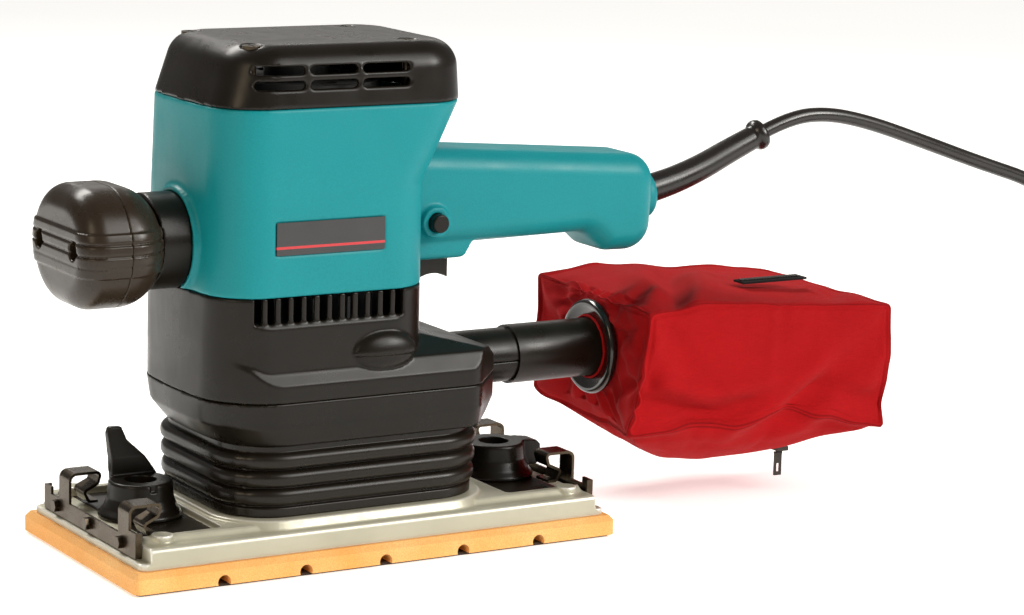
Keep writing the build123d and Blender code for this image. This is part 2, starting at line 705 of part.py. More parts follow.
def dust_bag():
    """Plain hollow envelope of the cloth bag, dished round its open neck."""
    outer = bag_profile(0.0)
    dish = rod_x(24.0, 110.0, MOUTH_X, 0, NOZZLE_Z)
    lining = rod_x(27.0, 110.0, MOUTH_X + 3.0, 0, NOZZLE_Z)
    shell = outer - (bag_profile(3.0) - lining) - dish
    return shell - rod_x(13.4, 130.0, 150.0, 0, NOZZLE_Z)


def bag_tube():
    """Plastic neck that pushes over the nozzle."""
    neck = tube_x(13.3, NOZZLE_R + RUNNING, 92.0, 136.0, 0, NOZZLE_Z)
    return neck + tube_x(13.3, 11.0, 136.0, 146.0, 0, NOZZLE_Z)


def bag_ring():
    """Round flange that grips the bag's mouth."""
    ring = tube_x(21.8, 13.3, 134.8, 138.9, 0, NOZZLE_Z)
    return fillet(ring.edges().filter_by(GeomType.CIRCLE).sort_by(Axis.X)[:1], 1.2)


ZIPPER_Y = -21.0
SLIDER_X = 231.0


def zipper():
    """Zipper tape and teeth along the top of the bag."""
    return block(204.0, 240.0, ZIPPER_Y - 4.0, ZIPPER_Y + 4.0, 101.4, 102.4)


def zipper_slider():
    """Metal slider under the bag, at the zipper's closed end."""
    return block(SLIDER_X - 3.0, SLIDER_X + 3.0, ZIPPER_Y - 4.0, ZIPPER_Y + 4.0, 20.0, BAG_LOW)


def zipper_pull():
    """Pull tab that hangs from the slider by a round pin."""
    tab = block(SLIDER_X - 2.0, SLIDER_X + 2.0, ZIPPER_Y - 0.5, ZIPPER_Y + 0.5, 7.6, 18.4)
    tab -= block(SLIDER_X - 0.9, SLIDER_X + 0.9, ZIPPER_Y - 1, ZIPPER_Y + 1, 9.2, 13.4)
    return tab + rod_x(0.8, SLIDER_X - 2.0, SLIDER_X + 2.0, ZIPPER_Y, 18.4)


# Mains cord ---------------------------------------------------------------------------
GUARD_ROUTE = [
    (154.0, 0.0, 142.0),
    (172.0, 0.0, 145.2),
    (193.0, 0.0, 151.8),
    (212.0, 0.0, 160.6),
    (229.0, 0.0, 167.6),
]
CORD_ROUTE = [
    (229.0, 0.0, 167.6),
    (245.0, 0.0, 174.0),
    (266.0, -0.5, 175.0),
    (290.0, -1.0, 170.0),
    (322.0, -2.0, 159.5),
    (358.0, -2.0, 147.3),
    (396.0, -3.0, 135.5),
    (430.0, -6.0, 114.0),
    (456.0, -10.0, 82.0),
    (470.0, -18.0, 50.0),
    (475.6, -32.0, 25.0),
    (476.0, -50.0, 12.5),
]
COIL_X, COIL_Y = 432.0, -46.0
COIL_OUTER, COIL_INNER, COIL_HEIGHT = 47.6, 24.0, 18.6


def cord_radii(points):
    """Largest arc that each corner's two runs allow."""
    radii = []
    for a, b, c in zip(points, points[1:], points[2:]):
        first, second = Vector(*b) - Vector(*a), Vector(*c) - Vector(*b)
        turn = radians(first.get_angle(second))
        radii.append(0.45 * min(first.length, second.length) / tan(turn / 2))
    return radii


def cord():
    """Free stretch of the mains cord, from its guard to the coil."""
    path = FilletPolyline(*CORD_ROUTE, radius=cord_radii(CORD_ROUTE))
    section = (path ^ 0) * Circle(CORD_D / 2)
    return sweep(section, path)


def cord_guard():
    """Bend-relief boot with a bead at its end."""
    path = FilletPolyline(*GUARD_ROUTE, radius=cord_radii(GUARD_ROUTE))
    boot = sweep((path ^ 0) * Circle(5.6), path)
    end = Plane(origin=path @ 1, z_dir=path % 1)
    bead = end * Pos(0, 0, -2.6) * Cylinder(7.4, 5.2)
    return boot + fillet(bead.edges(), 1.6) + rod_x(8.0, 153.5, 157.0, 0, 142.0)


def cord_clamp():
    """Clamp plate that holds the sheath inside the grip."""
    return block(143.0, 153.5, -12.0, 12.0, 138.0, 146.0) - block(142.0, 150.0, -4, 4, 141.0, 150.0)


def cord_coil():
    """Outer shape of the put-away coil, seven turns of cord."""
    return turned(
        (COIL_INNER, 2.0), (COIL_INNER + 2, 0.0), (COIL_OUTER - 2, 0.0), (COIL_OUTER, 2.0),
        (COIL_OUTER, COIL_HEIGHT - 2), (COIL_OUTER - 2, COIL_HEIGHT), (COIL_INNER + 2, COIL_HEIGHT),
        (COIL_INNER, COIL_HEIGHT - 2), x=COIL_X, y=COIL_Y,
    )


PLUG_FACE = 360.0
PLUG_Y = COIL_Y - 44.0
PLUG_Z = 13.0
PIN_PITCH = 19.0


def plug_body():
    """Moulded two-pin plug with a waisted grip and a bend relief, lying beside the coil."""
    sections = [(0.0, 17.5, 12.8), (7.0, 17.5, 12.8), (20.0, 12.0, 9.5), (36.0, 9.0, 8.0)]
    faces = [
        Pos(PLUG_FACE + x, PLUG_Y, PLUG_Z) * (Plane.YZ * RectangleRounded(2 * w, 2 * h, 0.8 * h))
        for x, w, h in sections
    ]
    grip = loft(faces[:2]) + loft(faces[1:])
    x_end = PLUG_FACE + 54.0
    relief = Pos(x_end - 9.5, PLUG_Y, PLUG_Z) * Rot(0, 90, 0) * Cone(5.6, 4.2, 19.0)
    return grip + relief


def plug_pins():
    """Two round plug pins."""
    pins = []
    for side in (-1, 1):
        y = PLUG_Y + side * PIN_PITCH / 2
        pins.append(rod_x(2.4, PLUG_FACE - 19.0, PLUG_FACE, y, PLUG_Z))
    return joined(pins)


NODES = {
    "housing_left": lambda: housing_half(-1),
    "housing_right": lambda: housing_half(1),
    "top_cover": top_cover,
    "cap_screws": cap_screws,
    "name_plate": name_plate,
    "lower_housing": lower_housing,
    "skirt_cover": skirt_cover,
    "nozzle_upper": lambda: nozzle_half(LOW_SEAM, LOW_SEAM + 30),
    "nozzle_lower": lambda: nozzle_half(LOW_SEAM - 30, LOW_SEAM),
    "bellows": bellows,
    "bellows_frame": bellows_frame,
    "sanding_pad": sanding_pad,
    "hook_sheet": hook_sheet,
    "base_plate": base_plate,
    "front_clamp": clamp_bar,
    "front_clamp_rivets": clamp_rivets,
    "rear_clamp": lambda: Rot(0, 0, 180) * clamp_bar(),
    "rear_clamp_rivets": lambda: Rot(0, 0, 180) * clamp_rivets(),
    "front_lever": front_lever,
    "rear_lever": rear_lever,
    "front_lever_screw": lambda: lever_screw(-LEVER_X),
    "rear_lever_screw": lambda: lever_screw(LEVER_X),
    "knob_front": lambda: knob_whole() & block(-140, KNOB_X, -60, 60, 90, 180),
    "knob_back": lambda: knob_whole() & block(KNOB_X, -60, -60, 60, 90, 180),
    "knob_neck": knob_neck,
    "knob_bolt": knob_bolt,
    "knob_screws": knob_screws,
    "armature_shaft": shaft,
    "armature_core": armature,
    "armature_coils": armature_coils,
    "commutator": commutator,
    "field_core": stator,
    "field_coils": field_coils,
    "end_bracket": end_bracket,
    "brush_holders": brush_holders,
    "carbon_brushes": carbon_brushes,
    "upper_bearing": lambda: ball_bearing(4.0 + RUNNING, 11.0, 203.0, 7.0, MOTOR_X, 7),
    "lower_bearing": lambda: ball_bearing(6.0 + RUNNING, 16.0, 84.0, 10.0, MOTOR_X, 8),
    "eccentric_bearing": lambda: ball_bearing(5.0 + RUNNING, 15.0, 19.0, 9.0, MOTOR_X + ORBIT, 8),
    "bearing_retainer": bearing_retainer,
    "cooling_fan": lambda: bladed_fan(9.0, 37.0, 6.0, 99.0, 113.0, 14, MOTOR_X),
    "dust_fan": lambda: bladed_fan(11.0, 35.0, 6.0, 60.0, 74.0, 10, MOTOR_X),
    "counterweight": counterweight,
    "fan_baffle": fan_baffle,
    "rubber_legs": rubber_legs,
    "switch_body": switch_body,
    "trigger": trigger,
    "lock_button": lock_button,
    "bag_tube": bag_tube,
    "bag_ring": bag_ring,
    "dust_bag": dust_bag,
    "zipper": zipper,
    "zipper_slider": zipper_slider,
    "zipper_pull": zipper_pull,
    "cord_guard": cord_guard,
    "cord_clamp": cord_clamp,
    "cord": cord,
    "cord_coil": cord_coil,
    "plug_body": plug_body,
    "plug_pins": plug_pins,
}

os.makedirs("parts", exist_ok=True)
for name, make in NODES.items():
    export_step(make(), f"parts/{name}.step")
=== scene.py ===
import json
from math import cos, exp, pi, radians, sin, tau

import bmesh
import bpy
from mathutils import Matrix, Vector, noise


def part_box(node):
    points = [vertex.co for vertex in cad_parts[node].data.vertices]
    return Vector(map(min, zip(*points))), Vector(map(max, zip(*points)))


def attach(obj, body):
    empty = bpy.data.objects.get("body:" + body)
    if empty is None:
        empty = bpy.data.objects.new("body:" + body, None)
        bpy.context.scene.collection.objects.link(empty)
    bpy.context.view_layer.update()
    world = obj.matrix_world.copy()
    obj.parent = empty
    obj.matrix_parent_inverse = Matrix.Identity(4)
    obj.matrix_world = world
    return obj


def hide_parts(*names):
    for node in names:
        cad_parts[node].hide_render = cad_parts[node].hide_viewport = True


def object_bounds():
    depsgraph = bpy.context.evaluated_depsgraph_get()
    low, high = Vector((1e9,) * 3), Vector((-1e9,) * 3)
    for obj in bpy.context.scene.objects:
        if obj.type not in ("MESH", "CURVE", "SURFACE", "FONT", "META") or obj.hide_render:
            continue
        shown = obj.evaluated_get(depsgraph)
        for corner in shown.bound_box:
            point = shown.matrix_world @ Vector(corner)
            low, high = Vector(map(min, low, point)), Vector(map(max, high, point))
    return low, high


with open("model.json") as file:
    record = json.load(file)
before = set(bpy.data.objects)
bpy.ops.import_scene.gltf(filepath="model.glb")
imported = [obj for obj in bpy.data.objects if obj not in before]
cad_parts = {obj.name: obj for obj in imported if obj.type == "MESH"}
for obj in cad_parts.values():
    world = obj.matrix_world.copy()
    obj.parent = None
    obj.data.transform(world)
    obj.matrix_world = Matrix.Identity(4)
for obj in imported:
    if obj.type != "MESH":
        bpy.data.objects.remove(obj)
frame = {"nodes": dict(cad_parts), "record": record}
cad_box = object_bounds()
NODES = frame["nodes"]
MM = 0.001


# Camera and light ---------------------------------------------------------------------
# Solved from the pad's corners and edges: metres, radians and millimetres of lens.
CAMERA_AT = Vector((-0.6409, -1.2028, 0.3642))
CAMERA_PITCH, CAMERA_YAW, CAMERA_ROLL = 0.18917, 0.54900, 0.02946
LENS_MM, SENSOR_MM = 112.25, 36.0


def look(place, forward, roll=0.0):
    """World matrix of something at place that looks along forward."""
    forward = Vector(forward).normalized()
    right = forward.cross(Vector((0, 0, 1))).normalized()
    up = right.cross(forward)
    x_axis = right * cos(roll) + up * sin(roll)
    y_axis = up * cos(roll) - right * sin(roll)
    turn = Matrix((x_axis, y_axis, -forward)).transposed().to_4x4()
    return Matrix.Translation(place) @ turn


def make_camera():
    """The photo's view, in front of the sander and to its left."""
    data = bpy.data.cameras.new("camera")
    data.lens = LENS_MM
    data.sensor_width = SENSOR_MM
    data.clip_start = 0.05
    camera = bpy.data.objects.new("camera", data)
    forward = (
        sin(CAMERA_YAW) * cos(CAMERA_PITCH),
        cos(CAMERA_YAW) * cos(CAMERA_PITCH),
        -sin(CAMERA_PITCH),
    )
    camera.matrix_world = look(CAMERA_AT, forward, CAMERA_ROLL)
    bpy.context.collection.objects.link(camera)
    bpy.context.scene.camera = camera


def softbox(name, place, target, width, height, watts, colour=(1.0, 0.97, 0.92)):
    """Rectangular area light at a place, turned to its target."""
    data = bpy.data.lights.new(name, "AREA")
    data.shape = "RECTANGLE"
    data.size, data.size_y = width, height
    data.energy = watts
    data.color = colour
    lamp = bpy.data.objects.new(name, data)
    lamp.matrix_world = look(Vector(place), Vector(target) - Vector(place))
    bpy.context.collection.objects.link(lamp)


def make_studio():
    """Window-like light from the right and above, a weak fill, and a white surround."""
    sun = bpy.data.lights.new("sky_panel", "SUN")
    sun.energy = 1.65
    sun.angle = radians(40)
    sun.color = (1.0, 0.975, 0.93)
    lamp = bpy.data.objects.new("sky_panel", sun)
    lamp.matrix_world = look(Vector((0.9, -0.9, 1.6)), (-0.45, 0.68, -0.56))
    bpy.context.collection.objects.link(lamp)
    softbox("right", (0.95, -1.0, 0.8), (0.0, 0.0, 0.1), 0.4, 0.35, 8.0)
    softbox("top", (-0.15, 0.9, 1.1), (0.0, 0.0, 0.15), 0.9, 0.3, 15.0)
    softbox("back", (1.0, 1.7, 0.8), (0.0, 0.0, 0.2), 1.2, 0.3, 1.6)
    softbox("left_rim", (-1.1, -0.5, 0.7), (-0.05, 0.0, 0.12), 0.3, 0.6, 3.0, (1.0, 0.8, 0.56))
    world = bpy.data.worlds.new("studio")
    world.use_nodes = True
    tree = world.node_tree
    room = tree.nodes["Background"]
    room.inputs["Color"].default_value = (1.0, 0.97, 0.93, 1.0)
    room.inputs["Strength"].default_value = 0.2
    backdrop = tree.nodes.new("ShaderNodeBackground")
    backdrop.inputs["Strength"].default_value = 1.0
    choose = tree.nodes.new("ShaderNodeMixShader")
    tree.links.new(tree.nodes.new("ShaderNodeLightPath").outputs["Is Camera Ray"], choose.inputs[0])
    tree.links.new(room.outputs[0], choose.inputs[1])
    tree.links.new(backdrop.outputs[0], choose.inputs[2])
    tree.links.new(choose.outputs[0], tree.nodes["World Output"].inputs["Surface"])
    bpy.context.scene.world = world
    bpy.context.scene.view_settings.view_transform = "Standard"


# Materials ----------------------------------------------------------------------------
class Shader:
    """A node tree under construction, with short ways to add nodes and link them."""

    def __init__(self, name, roughness, metallic=0.0, **sockets):
        self.material = bpy.data.materials.new(name)
        self.material.use_nodes = True
        self.tree = self.material.node_tree
        self.shader = self.tree.nodes["Principled BSDF"]
        self.shader.inputs["Roughness"].default_value = roughness
        self.shader.inputs["Metallic"].default_value = metallic
        for key, value in sockets.items():
            self.shader.inputs[key.replace("_", " ")].default_value = value
        self.where = self.tree.nodes.new("ShaderNodeTexCoord").outputs["Object"]

    def add(self, kind, **values):
        """Adds a shader node and sets its properties."""
        node = self.tree.nodes.new("ShaderNode" + kind)
        for key, value in values.items():
            setattr(node, key, value)
        return node

    def link(self, source, target):
        self.tree.links.new(source, target)

    def math(self, operation, a, b=0.0):
        """One step of arithmetic on numbers or sockets."""
        node = self.add("Math", operation=operation)
        for socket, value in zip(node.inputs, (a, b)):
            if isinstance(value, (int, float)):
                socket.default_value = value
            else:
                self.link(value, socket)
        return node.outputs[0]

    def noise(self, scale, detail=2.0, roughness=0.5, stretch=None):
        """Noise from 0 to 1 in object space, with scale in waves a metre."""
        node = self.add("TexNoise")
        node.inputs["Scale"].default_value = scale
        node.inputs["Detail"].default_value = detail
        node.inputs["Roughness"].default_value = roughness
        where = self.where
        if stretch:
            mapping = self.add("Mapping")
            mapping.inputs["Scale"].default_value = stretch
            self.link(where, mapping.inputs["Vector"])
            where = mapping.outputs[0]
        self.link(where, node.inputs["Vector"])
        return node.outputs["Fac"]

    def ramp(self, factor, *stops):
        """Colour ramp through (place, colour) stops."""
        node = self.add("ValToRGB")
        points = node.color_ramp.elements
        while len(points) < len(stops):
            points.new(0.5)
        for point, (place, colour) in zip(points, stops):
            point.position = place
            point.color = (*colour, 1.0)
        self.link(factor, node.inputs["Fac"])
        return node.outputs["Color"]

    def edges(self, low, high):
        """0 on flat areas and 1 on edges, between two levels of pointiness."""
        pointiness = self.add("NewGeometry").outputs["Pointiness"]
        return self.ramp(pointiness, (low, (0, 0, 0)), (high, (1, 1, 1)))

    def mix(self, factor, a, b):
        """Mixes two colours, each a socket or a tuple."""
        node = self.add("Mix", data_type="RGBA")
        self.link(factor, node.inputs[0])
        for socket, value in ((node.inputs[6], a), (node.inputs[7], b)):
            if isinstance(value, tuple):
                socket.default_value = (*value, 1.0)
            else:
                self.link(value, socket)
        return node.outputs[2]

    def spread(self, factor, low, high):
        """Maps a noise value near the middle of 0 to 1 on to low to high."""
        node = self.add("MapRange")
        node.inputs["From Min"].default_value = 0.3
        node.inputs["From Max"].default_value = 0.7
        node.inputs["To Min"].default_value = low
        node.inputs["To Max"].default_value = high
        self.link(factor, node.inputs["Value"])
        return node.outputs[0]

    def colour(self, value):
        self.link(value, self.shader.inputs["Base Color"])

    def roughness(self, value):
        self.link(value, self.shader.inputs["Roughness"])

    def bump(self, height, distance, strength):
        """Adds relief in metres on top of what is there already."""
        node = self.add("Bump")
        node.inputs["Strength"].default_value = strength
        node.inputs["Distance"].default_value = distance
        self.link(height, node.inputs["Height"])
        last = self.shader.inputs["Normal"]
        if last.links:
            self.link(last.links[0].from_socket, node.inputs["Normal"])
        self.link(node.outputs[0], last)


def shade(colour, factor):
    """A colour made darker or lighter."""
    return tuple(min(1.0, c * factor) for c in colour)


def moulded(name, colour, gloss=0.4, grain=2600.0, uneven=0.12, wear=0.25, **sockets):
    """Moulded plastic or rubber: fine spark-eroded grain, soft colour drift and rubbed edges."""
    s = Shader(name, gloss, **sockets)
    drift = s.noise(22.0, 3.0)
    base = s.ramp(drift, (0.3, shade(colour, 1 - uneven)), (0.7, shade(colour, 1 + uneven)))
    speck = s.noise(1500.0, 1.0)
    base = s.mix(s.spread(speck, 0.0, 0.35), base, shade(colour, 1.35))
    rubbed = s.math("MULTIPLY", s.edges(0.52, 0.60), wear)
    s.colour(s.mix(rubbed, base, shade(colour, 2.2)))
    s.roughness(s.spread(s.noise(60.0, 4.0), gloss - 0.06, gloss + 0.07))
    s.bump(s.noise(grain), 0.00004, 0.6)
    s.bump(s.noise(140.0, 2.0), 0.00006, 0.25)
    return s.material


def metal(name, colour, gloss, stretch=(1, 1, 1), drift=0.1, depth=0.00002):
    """Bare or plated metal with a directional finish."""
    s = Shader(name, gloss, 1.0)
    lines = s.noise(900.0, 3.0, stretch=stretch)
    s.colour(s.ramp(lines, (0.25, shade(colour, 1 - drift)), (0.75, shade(colour, 1 + drift))))
    s.roughness(s.spread(s.noise(80.0, 4.0), gloss - 0.07, gloss + 0.1))
    s.bump(lines, depth, 0.5)
    return s.material


def cast_plate():
    """Lacquered die-cast aluminium: pale, slightly warm, with near-white edges, partly worn bare
    metal and partly painted highlight.
    """
    s = Shader("plate_aluminium", 0.38, 0.35)
    pale, dull = (0.55, 0.53, 0.415), (0.47, 0.455, 0.35)
    base = s.ramp(s.noise(30.0, 5.0), (0.3, dull), (0.7, pale))
    # Edges painted near white: partly worn bare metal, partly a painted highlight on the rounded
    # edges.
    s.colour(s.mix(s.edges(0.51, 0.56), base, (0.93, 0.92, 0.87)))
    s.roughness(s.spread(s.noise(200.0, 4.0), 0.30, 0.46))
    s.bump(s.noise(900.0, 3.0), 0.00005, 0.5)
    s.bump(s.noise(60.0, 3.0), 0.0003, 0.2)
    return s.material


def pad_foam():
    """Dense orange foam rubber with fine open pores and dusty patches."""
    s = Shader("pad_foam", 0.72)
    orange, pale = (0.95, 0.45, 0.11), (1.0, 0.60, 0.22)
    base = s.ramp(s.noise(35.0, 4.0), (0.32, orange), (0.7, pale))
    pores = s.noise(1800.0, 1.0)
    s.colour(s.mix(s.spread(pores, 0.45, 0.0), base, (0.62, 0.22, 0.05)))
    s.bump(pores, 0.00012, 0.7)
    s.bump(s.noise(120.0, 3.0), 0.0002, 0.3)
    return s.material


def woven(name, colour, pitch=0.00075, depth=0.00012, seams=False):
    """Plain-woven canvas: threads along the three axes, slubs, fading, lint, and dark seam lines,
    partly thread and partly painted shadow.
    """
    s = Shader(name, 0.9, Sheen_Weight=0.02, Sheen_Roughness=0.4, Specular_IOR_Level=0.12)
    split = s.add("SeparateXYZ")
    s.link(s.where, split.inputs[0])
    wobble = s.math("MULTIPLY", s.noise(300.0, 2.0), 1.2)
    threads = []
    for axis in split.outputs:
        phase = s.math("ADD", s.math("MULTIPLY", axis, tau / pitch), wobble)
        threads.append(s.math("SINE", phase))
    over = s.math("MULTIPLY", threads[0], threads[2])
    across = s.math("MULTIPLY", threads[0], threads[1])
    weave = s.math("ADD", over, s.math("ADD", across, s.math("MULTIPLY", threads[1], threads[2])))
    faded, deep = shade(colour, 1.14), shade(colour, 0.86)
    base = s.ramp(s.noise(14.0, 5.0, roughness=0.6), (0.3, deep), (0.72, faded))
    slub = s.noise(260.0, 3.0, stretch=(1.0, 1.0, 6.0))
    base = s.mix(s.spread(slub, 0.0, 0.3), base, shade(colour, 0.7))
    lint = s.ramp(s.noise(900.0, 2.0), (0.70, (0, 0, 0)), (0.78, (1, 1, 1)))
    base = s.mix(s.math("MULTIPLY", lint, 0.12), base, shade(colour, 1.8))
    if seams:
        # Seams are drawn darker: partly the thread's own colour, partly painted shadow in the
        # seam's groove.
        near_seam = s.add("Attribute", attribute_name="seam").outputs["Fac"]
        none, full = (0, 0, 0), (1, 1, 1)
        seam_thread_and_shadow = s.ramp(near_seam, (0.80, none), (0.86, full), (0.93, full), (0.97, none))
        base = s.mix(s.math("MULTIPLY", seam_thread_and_shadow, 0.55), base, shade(colour, 0.3))
    s.colour(base)
    s.bump(weave, depth, 0.35)
    s.bump(s.noise(180.0, 3.0), 0.0004, 0.3)
    return s.material


def striped_plate():
    """Blank glossy name plate with one plain red line near its lower edge."""
    stripe_up, stripe_half = 3.2 * MM, 0.55 * MM
    s = Shader("name_plate", 0.16, Coat_Weight=0.4)
    split = s.add("SeparateXYZ")
    s.link(s.where, split.inputs[0])
    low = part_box("name_plate")[0].z
    stripe = s.math("COMPARE", split.outputs[2], low + stripe_up)
    stripe.node.inputs[2].default_value = stripe_half
    base = s.ramp(s.noise(40.0), (0.3, (0.008, 0.008, 0.010)), (0.7, (0.016, 0.015, 0.016)))
    s.colour(s.mix(stripe, base, (0.55, 0.012, 0.02)))
    s.roughness(s.spread(s.noise(90.0, 4.0), 0.13, 0.24))
    return s.material


TEAL = (0.005, 0.225, 0.25)
BLACK = (0.0070, 0.0052, 0.0032)


def make_materials():
    """One material for each of the record's slots."""
    made = [
        moulded("teal_plastic", TEAL, uneven=0.05, wear=0.1, Specular_IOR_Level=0.25),
        moulded("black_plastic", BLACK, 0.3, wear=0.3, Specular_IOR_Level=0.27),
        moulded("knob_plastic", (0.022, 0.0145, 0.0085), 0.28, Specular_IOR_Level=0.35),
        moulded("bellows_rubber", (0.009, 0.0065, 0.004), 0.3, 1400.0, Specular_IOR_Level=0.3),
        metal("black_steel", (0.085, 0.066, 0.046), 0.27, drift=0.2),
        cast_plate(),
        pad_foam(),
        woven("hook_backing", (0.05, 0.035, 0.025), 0.0016, depth=0.0003),
        striped_plate(),
        metal("steel", (0.42, 0.40, 0.37), 0.33, (1, 1, 12)),
        metal("core_steel", (0.17, 0.17, 0.18), 0.5, (1, 1, 30), depth=0.0001),
        metal("copper", (0.60, 0.24, 0.10), 0.32, (1, 1, 20), depth=0.0001),
        metal("brass", (0.68, 0.47, 0.2), 0.28),
        moulded("carbon", (0.02, 0.02, 0.021), 0.55),
        moulded("fan_plastic", (0.05, 0.05, 0.055), 0.45),
        moulded("bracket_plastic", (0.08, 0.08, 0.08), 0.5),
        metal("bearing_steel", (0.7, 0.7, 0.69), 0.14),
        moulded("ring_plastic", (0.012, 0.010, 0.0085), 0.14, wear=0.15, Coat_Weight=0.3),
        woven("bag_fabric", (0.37, 0.0045, 0.0065), seams=True),
        woven("zipper_tape", (0.016, 0.015, 0.016), 0.0009),
        metal("zipper_metal", (0.06, 0.055, 0.05), 0.35),
        moulded("cord_pvc", (0.012, 0.010, 0.009), 0.27, 1200.0, wear=0.1),
        metal("pin_metal", (0.72, 0.70, 0.64), 0.2, (14, 1, 1)),
    ]
    # The frame's own materials have these names too, so Blender adds a number after a dot.
    return {material.name.split(".")[0]: material for material in made}


def dress(piece, slot):
    """Gives a piece its slot's material."""
    piece.data.materials.clear()
    piece.data.materials.append(MATERIALS[slot])


def dress_frame():
    """Gives every CAD node its slot's material."""
    for part in frame["record"]["subparts"]:
        dress(NODES[part["node"]], part["material_slot"])


# Mesh helpers -------------------------------------------------------------------------
TUBE_SIDES, TURNED_SIDES = 32, 96


def new_piece(name, mesh, body, slot, *stands_for, smooth=True):
    """Links a mesh as a piece that rides a body, in a slot's finish, for some CAD nodes."""
    piece = bpy.data.objects.new(name, mesh)
    bpy.context.collection.objects.link(piece)
    for face in mesh.polygons:
        face.use_smooth = smooth
    dress(piece, slot)
    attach(piece, body)
    if stands_for:
        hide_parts(*stands_for)
    return piece


def applied(piece):
    """Replaces a piece's mesh with the result of its modifiers."""
    bpy.context.view_layer.update()
    depsgraph = bpy.context.evaluated_depsgraph_get()
    mesh = bpy.data.meshes.new_from_object(piece.evaluated_get(depsgraph))
    piece.modifiers.clear()
    piece.data = mesh
    for face in mesh.polygons:
        face.use_smooth = True


def mesh_from(work, name, outward=True):
    """Ends a bmesh as a mesh, with its faces turned outward unless they already are."""
    if outward:
        bmesh.ops.recalc_face_normals(work, faces=work.faces)
    mesh = bpy.data.meshes.new(name)
    work.to_mesh(mesh)
    work.free()
    return mesh


def bridge(work, low, high):
    """Joins two rings of as many vertices with four-sided faces."""
    for k, corner in enumerate(low):
        n = (k + 1) % len(low)
        work.faces.new((corner, low[n], high[n], high[k]))


def close_ends(work, rings):
    """Caps the first and the last ring of a tube or slab."""
    work.faces.new(rings[0])
    work.faces.new(list(reversed(rings[-1])))


def eased(t):
    """0 to 1 with a smooth start and end."""
    return t * t * (3 - 2 * t)


def softened(body, slot, voxel, passes, *nodes):
    """Remeshes CAD nodes as one piece so that its edges come out rounded, as moulded parts' do."""
    work = bmesh.new()
    for node in nodes:
        work.from_mesh(NODES[node].data)
    bmesh.ops.remove_doubles(work, verts=work.verts, dist=0.01 * MM)
    welded = mesh_from(work, nodes[0], outward=False)
    piece = new_piece(nodes[0] + "_moulded", welded, body, slot, *nodes)
    remesh = piece.modifiers.new("remesh", "REMESH")
    remesh.mode = "VOXEL"
    remesh.voxel_size = voxel
    smooth = piece.modifiers.new("smooth", "SMOOTH")
    smooth.factor = 0.5
    smooth.iterations = passes
    applied(piece)


def nurbs(name, points, radius=0.0):
    """An open NURBS curve, round in section, with the points as its control points."""
    curve = bpy.data.curves.new(name, "CURVE")
    curve.dimensions = "3D"
    spline = curve.splines.new("NURBS")
    spline.points.add(len(points) - 1)
    for control, point in zip(spline.points, points):
        control.co = (*point, 1.0)
    spline.order_u = 3
    spline.use_endpoint_u = True
    spline.resolution_u = 8
    curve.bevel_depth = radius
    curve.bevel_resolution = 5
    curve.use_fill_caps = True
    return bpy.data.objects.new(name, curve)


def points_along(route):
    """Points on the smooth line through a route."""
    probe = nurbs("probe", route)
    bpy.context.collection.objects.link(probe)
    bpy.context.view_layer.update()
    mesh = bpy.data.meshes.new_from_object(probe)
    line = [v.co.copy() for v in mesh.vertices]
    bpy.data.objects.remove(probe)
    return line


def respaced(line, count):
    """A line's points moved to count equal steps along it, and its whole length."""
    total = sum((b - a).length for a, b in zip(line, line[1:]))
    even = []
    travelled, reach = 0.0, 0
    for i in range(count + 1):
        target = total * i / count
        step = (line[reach + 1] - line[reach]).length
        while reach < len(line) - 2 and travelled + step < target:
            travelled += step
            reach += 1
            step = (line[reach + 1] - line[reach]).length
        share = (target - travelled) / max(step, 1e-9)
        even.append(line[reach].lerp(line[reach + 1], share))
    return even, total


def skinned(name, line, radii):
    """A closed tube round a line, with a radius for each of its points."""
    work = bmesh.new()
    side = Vector((0, 1, 0))
    rings = []
    for i, point in enumerate(line):
        along = (line[min(i + 1, len(line) - 1)] - line[max(i - 1, 0)]).normalized()
        side = (side - along * side.dot(along)).normalized()
        up = along.cross(side)
        ring = []
        for k in range(TUBE_SIDES):
            a = tau * k / TUBE_SIDES
            ring.append(work.verts.new(point + (side * cos(a) + up * sin(a)) * radii[i]))
        rings.append(ring)
    for low, high in zip(rings, rings[1:]):
        bridge(work, low, high)
    close_ends(work, rings)
    return mesh_from(work, name)


def ring_profile(name, body, slot, profile, *stands_for):
    """A turned piece about the nozzle's axis, from (x, radius) points in mm, closed on itself."""
    work = bmesh.new()
    rings = []
    for k in range(TURNED_SIDES):
        a = tau * k / TURNED_SIDES
        places = [Vector((x, r * cos(a), MOUTH.z + r * sin(a))) for x, r in profile]
        rings.append([work.verts.new(place * MM) for place in places])
    for low, high in zip(rings, rings[1:] + rings[:1]):
        bridge(work, low, high)
    return new_piece(name, mesh_from(work, name), body, slot, *stands_for)


# Mains cord ---------------------------------------------------------------------------
# The two routes repeat part.py's, in mm. The coil lies inside part.py's plain solid for it.
GUARD_ROUTE = [
    (154.0, 0.0, 142.0),
    (172.0, 0.0, 145.2),
    (193.0, 0.0, 151.8),
    (212.0, 0.0, 160.6),
    (229.0, 0.0, 167.6),
]
CORD_ROUTE = [
    (229.0, 0.0, 167.6),
    (245.0, 0.0, 174.0),
    (266.0, -0.5, 175.0),
    (290.0, -1.0, 170.0),
    (322.0, -2.0, 159.5),
    (358.0, -2.0, 147.3),
    (396.0, -3.0, 135.5),
    (430.0, -6.0, 114.0),
    (456.0, -10.0, 82.0),
    (470.0, -18.0, 50.0),
    (475.6, -32.0, 25.0),
]
PLUG_TAIL = [
    (449.5, -86.6, 4.4),
    (438.0, -90.0, 7.4),
    (426.0, -90.6, 10.8),
    (416.0, -90.0, 12.8),
    (408.0, -90.0, 13.0),
]
CORD_RADIUS = 3.4 * MM

